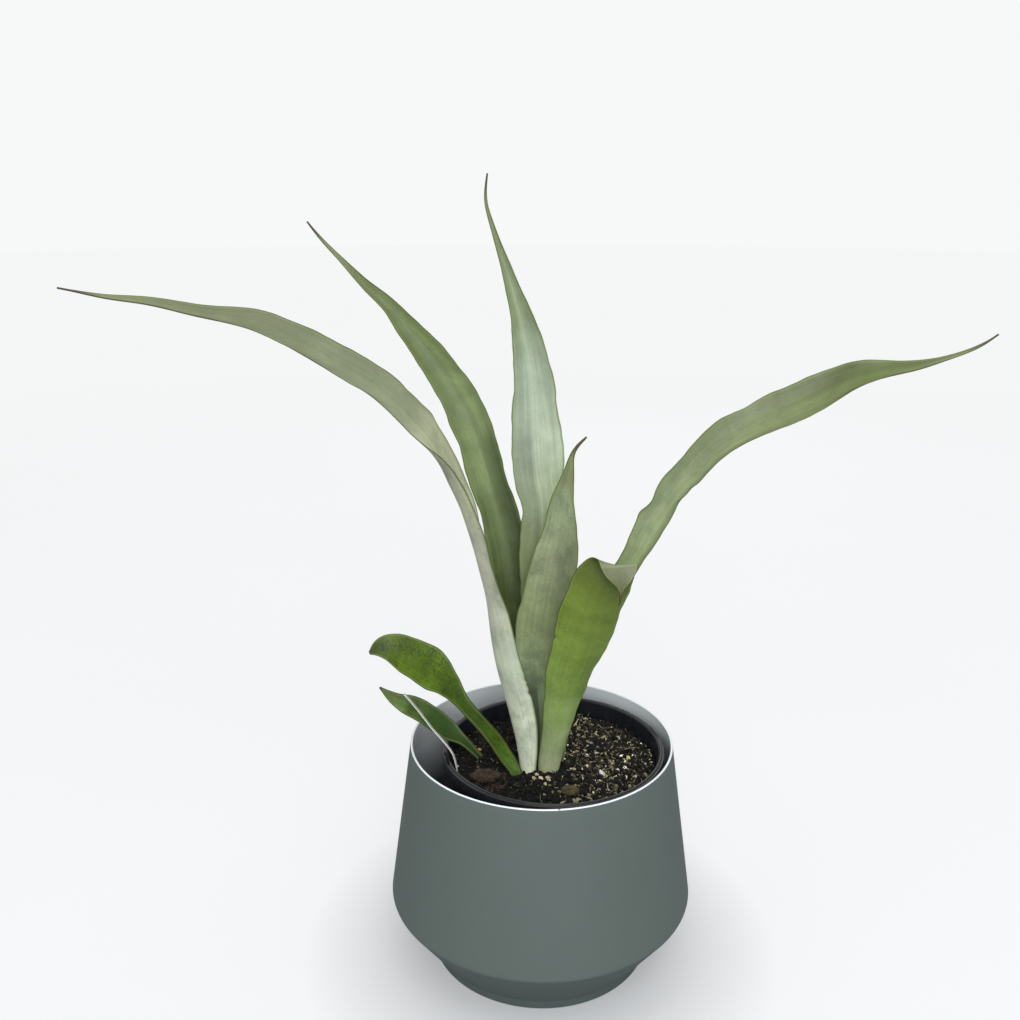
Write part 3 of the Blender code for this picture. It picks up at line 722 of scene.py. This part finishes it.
def pot_paint():
    """Matt grey-green powder coat: fine orange peel and faint cloudiness."""
    nodes = Nodes("pot_paint")
    place = nodes.place()
    cloud = nodes.noise(place, 14.0, 4.0, 0.55)
    grain = nodes.noise(place, 1500.0, 2.0)
    colour = nodes.mix(cloud, rgb(93, 105, 102), rgb(99, 111, 108))
    colour = nodes.scale_colour(colour, nodes.span(grain, 0.3, 0.7, 0.975, 1.025))
    normal = nodes.bump(nodes.noise(place, 420.0, 3.0), 0.10, 0.0004)
    roughness = nodes.span(cloud, 0.3, 0.7, 0.50, 0.58)
    return nodes.finish(colour, roughness, normal, Specular_IOR_Level=0.45)


def pot_lining():
    """Pale satin lining, which also shows as the bright line of the rim, with one tiny chip in it and
    painted shade lower down inside.
    """
    nodes = Nodes("pot_lining")
    place = nodes.place()
    cloud = nodes.noise(place, 22.0, 4.0)
    colour = nodes.mix(cloud, rgb(238, 246, 254), rgb(244, 250, 255))
    # Painted shade: the lining turns dark grey lower down inside the pot.
    colour = nodes.mix(nodes.span(nodes.split(place)[2], 0.100, 0.146), rgb(112, 116, 121), colour)
    chip = nodes.vector("DISTANCE", place, CHIP_AT).outputs["Value"]
    nick = nodes.span(chip, 0.0005, 0.0011, 0.8, 0.0)
    colour = nodes.mix(nick, colour, rgb(70, 72, 72))
    normal = nodes.bump(nodes.noise(place, 300.0, 3.0), 0.08, 0.0003)
    return nodes.finish(colour, nodes.span(cloud, 0.3, 0.7, 0.20, 0.28), normal, Specular_IOR_Level=0.8)


def build_outer_pot():
    taper = (BELLY_RADIUS - RIM_RADIUS) / (POT_HEIGHT - BELLY_Z)
    inside, outside = 0, 1
    edge = 0.75
    profile = rounded([
        (0.0, POT_FLOOR, 0, 0, inside),
        (FOOT_RADIUS + 1.0, POT_FLOOR, 5.0, 8, inside),
        (FOOT_TOP_RADIUS - 1.65, FOOT_TOP_Z + 0.8, 2.0, 5, inside),
        (BELLY_RADIUS - POT_WALL, BELLY_Z + 1.0, 3.0, 6, inside),
        (RIM_RADIUS - POT_WALL, POT_HEIGHT, edge, 5, inside),
        (RIM_RADIUS - taper * edge, POT_HEIGHT, edge, 5, inside),
        (BELLY_RADIUS, BELLY_Z, 4.0, 10, outside),
        (FOOT_TOP_RADIUS, FOOT_TOP_Z, 2.5, 6, outside),
        (FOOT_RADIUS + 2.0, 0.0, 2.0, 6, outside),
        (0.0, 0.0, 0, 0, outside),
    ], 9.0)
    points, faces = turned(profile, POT_STEPS, (0.0, 0.0, 0.0))
    skins = [pot_lining(), pot_paint()]
    obj = piece("outer_pot_shell", points, faces, skins, nodes=["outer_pot"])
    for index, polygon in enumerate(obj.data.polygons):
        polygon.material_index = profile[index // POT_STEPS + 1][2]


NURSERY_AT = (9.0, 1.0, 3.3)
NURSERY_RIM, NURSERY_HEIGHT, NURSERY_BASE = 85.5, 167.0, 64.0
NURSERY_WALL, LIP_REACH, LIP_DEPTH = 1.5, 3.0, 9.0
HANGER_ANGLES, HANGER_RADIUS, HANGER_SIZE = (14.0, 194.0), 83.1, (1.4, 18.0, 6.0)
DRAINS, DRAIN_RADIUS, DRAIN_CIRCLE = 6, 5.5, 42.0


def wall_radius(z):
    """Outer radius of the nursery pot's wall at a height above its base."""
    top = NURSERY_RIM - LIP_REACH
    return NURSERY_BASE + (top - NURSERY_BASE) * z / NURSERY_HEIGHT


def nursery_plastic():
    """Thin black moulded plastic: bluish sheen, upright flow lines and dust."""
    nodes = Nodes("nursery_plastic")
    place = nodes.place()
    axis = (NURSERY_AT[0] * MM, NURSERY_AT[1] * MM, 0.0)
    x, y, z = nodes.split(nodes.vector("SUBTRACT", place, axis).outputs[0])
    angle = nodes.math("ARCTAN2", y, x)
    upright = nodes.times(z, 9.0)
    flow = nodes.noise(nodes.combine(nodes.times(angle, 26.0), upright, 0.0), 1.0, 4.0, 0.6)
    dust = nodes.noise(place, 240.0, 5.0, 0.7)
    colour = nodes.mix(flow, rgb(15, 17, 22), rgb(31, 35, 44))
    colour = nodes.mix(nodes.span(dust, 0.62, 0.74, 0.0, 0.5), colour, rgb(96, 90, 82))
    normal = nodes.bump(flow, 0.25, 0.0008)
    normal = nodes.bump(nodes.noise(place, 500.0, 2.0), 0.08, 0.0003, normal)
    roughness = nodes.span(flow, 0.3, 0.7, 0.24, 0.42)
    return nodes.finish(colour, roughness, normal, Specular_IOR_Level=0.55)


def place_cutter(angle, reach, height):
    """Puts the new cutter at an angle and a distance from the nursery pot's axis."""
    cutter = bpy.context.object
    cx, cy, base = NURSERY_AT
    place = (cx + reach * math.cos(angle), cy + reach * math.sin(angle), base + height)
    cutter.location = [value * MM for value in place]
    return cutter


def carve(obj, cutters):
    """Cuts the cutters out of a piece for good, and removes them."""
    for cutter in cutters:
        change = obj.modifiers.new("cut", "BOOLEAN")
        change.object = cutter
        change.operation = "DIFFERENCE"
        change.solver = "EXACT"
    bpy.context.view_layer.update()
    graph = bpy.context.evaluated_depsgraph_get()
    cut = bpy.data.meshes.new_from_object(obj.evaluated_get(graph))
    obj.modifiers.clear()
    obj.data = cut
    for cutter in cutters:
        bpy.data.objects.remove(cutter, do_unlink=True)


def build_nursery_pot():
    top, lip = NURSERY_HEIGHT, NURSERY_HEIGHT - LIP_DEPTH
    at_lip = wall_radius(lip)
    rim = NURSERY_RIM
    profile = rounded([
        (0.0, NURSERY_WALL, 0, 0),
        (NURSERY_BASE - NURSERY_WALL, NURSERY_WALL, 2.0, 4),
        (wall_radius(top - 1.2) - NURSERY_WALL, top - 1.2, 0.5, 3),
        (wall_radius(top) - NURSERY_WALL + 1.1, top, 0.8, 5),
        (rim - 2.2, top, 0.4, 3),
        (rim - 1.9, top - 0.9, 0.3, 3),
        (rim - 0.1, top - 0.7, 0.6, 5),
        (rim - 0.6, lip, 0.3, 2),
        (rim - 1.6, lip, 0.2, 2),
        (rim - 1.6, top - 2.4, 0.2, 2),
        (at_lip + 0.9, top - 2.4, 0.2, 2),
        (at_lip, lip, 2.0, 3),
        (NURSERY_BASE, 0.0, 2.0, 6),
        (0.0, 0.0, 0, 0),
    ], 12.0)
    points, faces = turned(profile, NURSERY_STEPS, NURSERY_AT)
    skin = nursery_plastic()
    obj = piece("nursery_pot_shell", points, faces, skin, nodes=["nursery_pot"])
    cutters = []
    for degrees in HANGER_ANGLES:
        bpy.ops.mesh.primitive_cube_add(size=1.0)
        bpy.context.object.scale = [value * MM for value in HANGER_SIZE]
        cutters.append(place_cutter(math.radians(degrees), HANGER_RADIUS, top))
        cutters[-1].rotation_euler.z = math.radians(degrees)
    for index in range(DRAINS):
        bpy.ops.mesh.primitive_cylinder_add(vertices=32, radius=DRAIN_RADIUS * MM, depth=0.010)
        cutters.append(place_cutter(2 * math.pi * index / DRAINS, DRAIN_CIRCLE, 0.0))
    carve(obj, cutters)
    obj.data.shade_smooth()
    obj.data.set_sharp_from_angle(angle=SHARP)


# -------- soil

SOIL_Z = 156.3


def soil_height(x, y):
    """Height of the soil's uneven surface, in millimetres."""
    cx, cy, _ = NURSERY_AT
    out = math.hypot(x - cx, y - cy) / 80.0
    mound = 2.0 * (1 - out * out) + 3.0 * math.exp(-((x - 48) ** 2 + (y - 20) ** 2) / 900.0)
    rough = 2.6 * noise.noise(Vector((x / 21.0, y / 21.0, 1.7)))
    rough += 2.4 * noise.noise(Vector((x / 8.0, y / 8.0, 5.1)))
    rough += 1.3 * noise.noise(Vector((x / 3.2, y / 3.2, 9.4)))
    return SOIL_Z + mound + rough


def soil_skin():
    """Dark damp mix with a few pale specks, under the loose grains."""
    nodes = Nodes("soil_skin")
    place = nodes.place()
    big = nodes.noise(place, 70.0, 5.0, 0.65)
    small = nodes.noise(place, 520.0, 4.0, 0.7)
    colour = nodes.ramp(big, [(0.3, rgb(11, 9, 7)), (0.55, rgb(20, 17, 13)), (0.75, rgb(38, 33, 25))])
    colour = nodes.scale_colour(colour, nodes.span(small, 0.3, 0.72, 0.55, 1.5))
    grit = nodes.add("TexVoronoi", place, None, 520.0)
    speck = nodes.span(grit.outputs["Distance"], 0.16, 0.26, 1.0, 0.0)
    chosen = nodes.math("GREATER_THAN", nodes.noise(place, 160.0, 1.0), 0.58)
    colour = nodes.mix(nodes.times(speck, chosen), colour, rgb(150, 132, 96))
    normal = nodes.bump(small, 0.8, 0.0012)
    return nodes.finish(colour, nodes.span(small, 0.3, 0.7, 0.75, 0.95), normal, Specular_IOR_Level=0.3)


def build_soil_bed():
    rings, steps = 66, 168
    cx, cy, base = NURSERY_AT
    points = [(cx, cy, soil_height(cx, cy))]
    outer = wall_radius(SOIL_Z - base) - NURSERY_WALL - 0.3
    for ring in range(1, rings + 1):
        drop = 1.5 * max(0.0, (ring / rings - 0.96) / 0.04)
        for x, y, _ in ring_points(outer * ring / rings, 0.0, steps, NURSERY_AT):
            points.append((x, y, soil_height(x, y) - drop))
    low = 8.0
    points += ring_points(wall_radius(low) - NURSERY_WALL - 0.6, low, steps, (cx, cy, 0.0))
    points.append((cx, cy, low))
    faces = turned_faces(rings + 1, steps)
    piece("soil_bed", points, faces, soil_skin(), nodes=["soil"])


def crumb_material(name, rough=0.85):
    """Each crumb carries its own colour, roughened here."""
    nodes = Nodes(name)
    place = nodes.place()
    small = nodes.noise(place, 1100.0, 4.0, 0.7)
    colour = nodes.scale_colour(nodes.read("tint", "Color"), nodes.span(small, 0.3, 0.7, 0.6, 1.35))
    normal = nodes.bump(small, 0.7, 0.0006)
    return nodes.finish(colour, rough, normal, Specular_IOR_Level=0.35)


def ico(level):
    shape = bmesh.new()
    bmesh.ops.create_icosphere(shape, subdivisions=level, radius=1.0)
    points = np.array([vert.co[:] for vert in shape.verts])
    faces = np.array([[vert.index for vert in face.verts] for face in shape.faces])
    shape.free()
    return points, faces


def turn_matrix(random):
    """A random rotation."""
    return np.array(Quaternion(random.normal(size=4)).normalized().to_matrix())


# What the mix holds: share, colour, half size range, flatness. The first two are its dark part.
CRUMBS = [
    (0.36, (9, 8, 7), (1.0, 2.7), 0.75),
    (0.20, (24, 20, 16), (1.0, 2.5), 0.7),
    (0.12, (72, 66, 48), (0.9, 2.3), 0.6),
    (0.13, (142, 134, 104), (0.8, 2.0), 0.6),
    (0.12, (200, 191, 156), (0.7, 1.7), 0.6),
    (0.01, (204, 164, 100), (0.6, 1.2), 0.7),
    (0.06, (236, 234, 222), (0.6, 1.4), 0.8),
]
DARK_KINDS = 2
# Grains that stand out: (x, y, half size, colour).
STANDOUTS = [
    (-1, -32, 2.2, (206, 198, 168)), (4, -27, 2.0, (198, 190, 156)), (-4, -25, 1.8, (190, 182, 150)),
    (2, -38, 1.7, (186, 176, 140)), (6, -33, 1.5, (214, 208, 184)), (-6, -31, 1.6, (178, 168, 136)),
    (-47, 14, 1.8, (214, 160, 84)), (45, -26, 2.3, (228, 228, 222)), (57, -22, 1.7, (224, 222, 212)),
    (74, -26, 1.2, (220, 218, 210)), (-64, -8, 1.6, (216, 216, 210)), (34, 30, 2.0, (208, 184, 116)),
    (67, -4, 1.9, (212, 190, 124)),
]
PEAT_AT, PEAT_REACH, PEAT_TINT = (-42.0, -30.0), 17.0, (68, 54, 48)


def paleness(x, y):
    """How pale the mix is: most at the right and back of the pot, least at its left and along its front."""
    return 0.25 + 0.75 * smoothstep(-4.0, 30.0, x) * smoothstep(-76.0, -48.0, y)


def scatter(random, count, reach=78.5):
    """Places spread evenly over the soil, up to the reach from its middle."""
    cx, cy, _ = NURSERY_AT
    r = reach * np.sqrt(random.random(count))
    a = 2 * np.pi * random.random(count)
    return cx + r * np.cos(a), cy + r * np.sin(a)


def crumb_shape(random, base, size, flat):
    """One broken grain: a lumpy ball with three faces cut off it."""
    shape = np.array((size * random.uniform(0.8, 1.5), size * random.uniform(0.7, 1.1), size * flat))
    lump = base * (1.0 + random.normal(0.0, 0.15, (len(base), 1)))
    for direction in unit(random.normal(size=(3, 3))):
        beyond = np.maximum(lump @ direction - 0.62, 0.0)
        lump = lump - beyond[:, None] * direction * 0.85
    return (lump * shape) @ turn_matrix(random).T


def build_crumbs(name, count, seed, scale=1.0, extra=()):
    """Loose grains of the mix, and extra ones at their own places."""
    random = np.random.default_rng(seed)
    base, base_faces = ico(2)
    cx, cy, _ = NURSERY_AT
    xs, ys = scatter(random, count)
    shares = np.array([kind[0] for kind in CRUMBS])
    kinds = random.choice(len(CRUMBS), count, p=shares / shares.sum())
    points, tints = [], []
    for x, y, kind in zip(xs, ys, kinds):
        paleness_here = paleness(x, y)
        if kind >= DARK_KINDS and random.random() > paleness_here:
            kind = 0
        _, colour, (small, large), flat = CRUMBS[kind]
        if math.hypot(x - PEAT_AT[0], y - PEAT_AT[1]) < PEAT_REACH and random.random() < 0.6:
            colour = PEAT_TINT
            paleness_here = random.uniform(0.3, 1.0)
        near_wall = smoothstep(70.0, 77.0, math.hypot(x - cx, y - cy))
        size = scale * (small + (large - small) * random.random() ** 1.6) * (1.0 - 0.4 * near_wall)
        height = soil_height(x, y) + size * random.uniform(-0.3, 0.7)
        points.append(crumb_shape(random, base, size, flat) + (x, y, height))
        tone = np.array(rgb(*colour)[:3]) * random.uniform(0.25, 1.75) * (0.22 + 0.78 * paleness_here)
        tints.append(np.tile((*tone, 1.0), (len(base), 1)))
    for x, y, size, colour in extra:
        points.append(crumb_shape(random, base, size, 0.8) + (x, y, soil_height(x, y) + size * 0.8))
        tints.append(np.tile(rgb(*colour), (len(base), 1)))
    faces = np.vstack([base_faces + index * len(base) for index in range(len(points))])
    obj = piece(name, np.vstack(points), faces, crumb_material(name + "_skin"), smooth=False)
    attribute(obj, "tint", np.vstack(tints), colour=True)


FIBRES = [(20, 17, 14), (40, 35, 27), (96, 89, 67), (156, 148, 118), (198, 189, 158), (136, 134, 112)]


def build_fibres(count, seed):
    """Thin bent root hairs and peat fibres lying on and standing out of the soil."""
    random = np.random.default_rng(seed)
    x, y = scatter(random, count, 76.0)
    sides, steps = 5, 7
    points, faces, tints = [], [], []
    for index in range(count):
        heading = random.uniform(0, 2 * np.pi)
        rise = random.uniform(-0.15, 0.75) ** 2
        bend = random.normal(0, 0.28, 2)
        long = random.uniform(3.0, 10.0)
        radius = random.uniform(0.25, 0.55)
        place = np.array((x[index], y[index], soil_height(x[index], y[index]) + 0.3))
        line = [place]
        for step in range(steps - 1):
            direction = np.array((math.cos(heading), math.sin(heading), rise))
            place = place + direction / np.linalg.norm(direction) * long / steps
            floor = soil_height(place[0], place[1]) + 0.2
            place[2] = max(place[2], floor)
            heading += bend[0]
            rise += bend[1] * 0.3
            line.append(place)
        line = np.array(line)
        along = unit(np.gradient(line, axis=0))
        side = unit(np.cross(along, (0.13, 0.21, 1.0)))
        up = np.cross(side, along)
        start = len(points) * sides * steps
        angle = np.linspace(0, 2 * np.pi, sides, endpoint=False)
        taper = radius * np.linspace(1.0, 0.45, steps)
        circles = side[:, None] * np.cos(angle)[:, None] + up[:, None] * np.sin(angle)[:, None]
        points.append((line[:, None] + circles * taper[:, None, None]).reshape(-1, 3))
        faces += tube_faces(steps, sides, start)
        paleness_here = paleness(x[index], y[index])
        kind = random.integers(len(FIBRES)) if random.random() < paleness_here else random.integers(DARK_KINDS)
        tone = np.array(rgb(*FIBRES[kind])[:3]) * random.uniform(0.35, 1.4) * (0.3 + 0.75 * paleness_here)
        tints.append(np.tile((*tone, 1.0), (sides * steps, 1)))
    obj = piece("soil_fibres", np.vstack(points), faces, crumb_material("fibre_skin", 0.75))
    attribute(obj, "tint", np.vstack(tints), colour=True)


def build_clod(name, node, tint_a, tint_b, seed, grain):
    """A lump with the CAD piece's size and place and a crumbly surface."""
    low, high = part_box(node)
    centre, size = (low + high) / 2 / MM, (high - low) / 2 / MM
    base, faces = ico(5)
    points = []
    for x, y, z in base:
        at = Vector((x * size.x, y * size.y, z * size.z))
        push = 1.0 + 0.16 * noise.noise(at / 5.0 + Vector((seed, 0, 0)))
        push += 0.10 * noise.noise(at / 1.9 + Vector((0, seed, 0)))
        push += grain * noise.noise(at / 0.8 + Vector((0, 0, seed)))
        points.append((centre + at * push * 0.97)[:])
    nodes = Nodes(name + "_skin")
    place = nodes.place()
    tone = nodes.noise(place, 240.0, 5.0, 0.7)
    colour = nodes.mix(nodes.span(tone, 0.32, 0.68), rgb(*tint_a), rgb(*tint_b))
    fine = nodes.noise(place, 1200.0, 3.0, 0.7)
    colour = nodes.scale_colour(colour, nodes.span(fine, 0.3, 0.7, 0.7, 1.3))
    normal = nodes.bump(fine, 0.8, 0.0008)
    material = nodes.finish(colour, 0.9, normal, Specular_IOR_Level=0.25)
    piece(name, points, faces, material, smooth=False, nodes=[node])


# -------- label, rhizome

LABEL_LINE = [(-58, 138), (-64, 156), (-67, 169), (-73, 179), (-83, 192), (-91, 204), (-103, 220)]
LABEL_Y, LABEL_WIDTH, LABEL_THICK, LABEL_TILT = -12.0, 13.0, 0.6, 26.0


def label_plastic():
    nodes = Nodes("label_plastic")
    place = nodes.place()
    haze = nodes.noise(place, 60.0, 3.0)
    scuff = nodes.noise(place, 700.0, 4.0, 0.7)
    colour = nodes.mix(haze, rgb(243, 244, 246), rgb(249, 250, 251))
    colour = nodes.mix(nodes.span(scuff, 0.62, 0.74, 0.0, 0.3), colour, rgb(176, 172, 162))
    normal = nodes.bump(scuff, 0.1, 0.0002)
    return nodes.finish(colour, nodes.span(haze, 0.3, 0.7, 0.28, 0.4), normal)


def build_label():
    line = np.array([(x, LABEL_Y, z) for x, z in LABEL_LINE], float)
    knots = distances(line)
    rows = 90
    where = np.linspace(0.0, knots[-1], rows)
    spine = natural_spline(knots, line, where)
    along = unit(np.gradient(spine, axis=0))
    lean = math.radians(LABEL_TILT)
    depth = np.array((0.0, math.cos(lean), -math.sin(lean)))
    face = unit(np.cross(along, depth))
    count = 13
    u = np.linspace(-1.0, 1.0, count)
    points = []
    for i in range(rows):
        foot = smoothstep(0.0, 12.0, where[i])
        end = knots[-1] - where[i]
        corner = 3.0 - math.sqrt(max(0.0, 9.0 - (3.0 - min(3.0, end)) ** 2))
        half = LABEL_WIDTH / 2 * (0.3 + 0.7 * foot) - corner
        middle = spine[i] + depth * (half * u)[:, None]
        thick = face[i] * LABEL_THICK / 2
        points.append(np.vstack([middle - thick, (middle + thick)[::-1]]))
    points, faces = np.vstack(points), tube_faces(rows, 2 * count)
    obj = piece("label_strip", points, faces, label_plastic(), nodes=["plant_label"])
    obj.data.set_sharp_from_angle(angle=SHARP)


def dress_rhizome():
    """The rhizome is inside the soil. It keeps its CAD shape and gets a barky skin."""
    nodes = Nodes("rhizome_skin")
    place = nodes.place()
    tone = nodes.noise(place, 120.0, 4.0, 0.6)
    colour = nodes.mix(tone, rgb(150, 112, 62), rgb(196, 160, 104))
    normal = nodes.bump(tone, 0.5, 0.001)
    material = nodes.finish(colour, 0.7, normal)
    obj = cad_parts["rhizome"]
    obj.data.materials.clear()
    obj.data.materials.append(material)


# -------- the scene

build_camera()
build_world()
build_floor()
for light in LIGHTS:
    area_light(*light)
build_outer_pot()
build_nursery_pot()
build_soil_bed()
build_crumbs("soil_crumbs_a", 2300, 5, extra=STANDOUTS)
build_crumbs("soil_crumbs_b", 2300, 6)
build_crumbs("soil_crumbs_c", 2400, 7, 0.6)
build_crumbs("soil_crumbs_d", 2400, 8, 0.7)
build_fibres(1500, 9)
build_clod("peat_lump", "peat_clump", (34, 26, 23), (82, 66, 58), 3.0, 0.22)
build_clod("bark_piece", "bark_chip", (40, 36, 27), (104, 95, 70), 8.0, 0.16)
build_label()
dress_rhizome()
build_leaves()
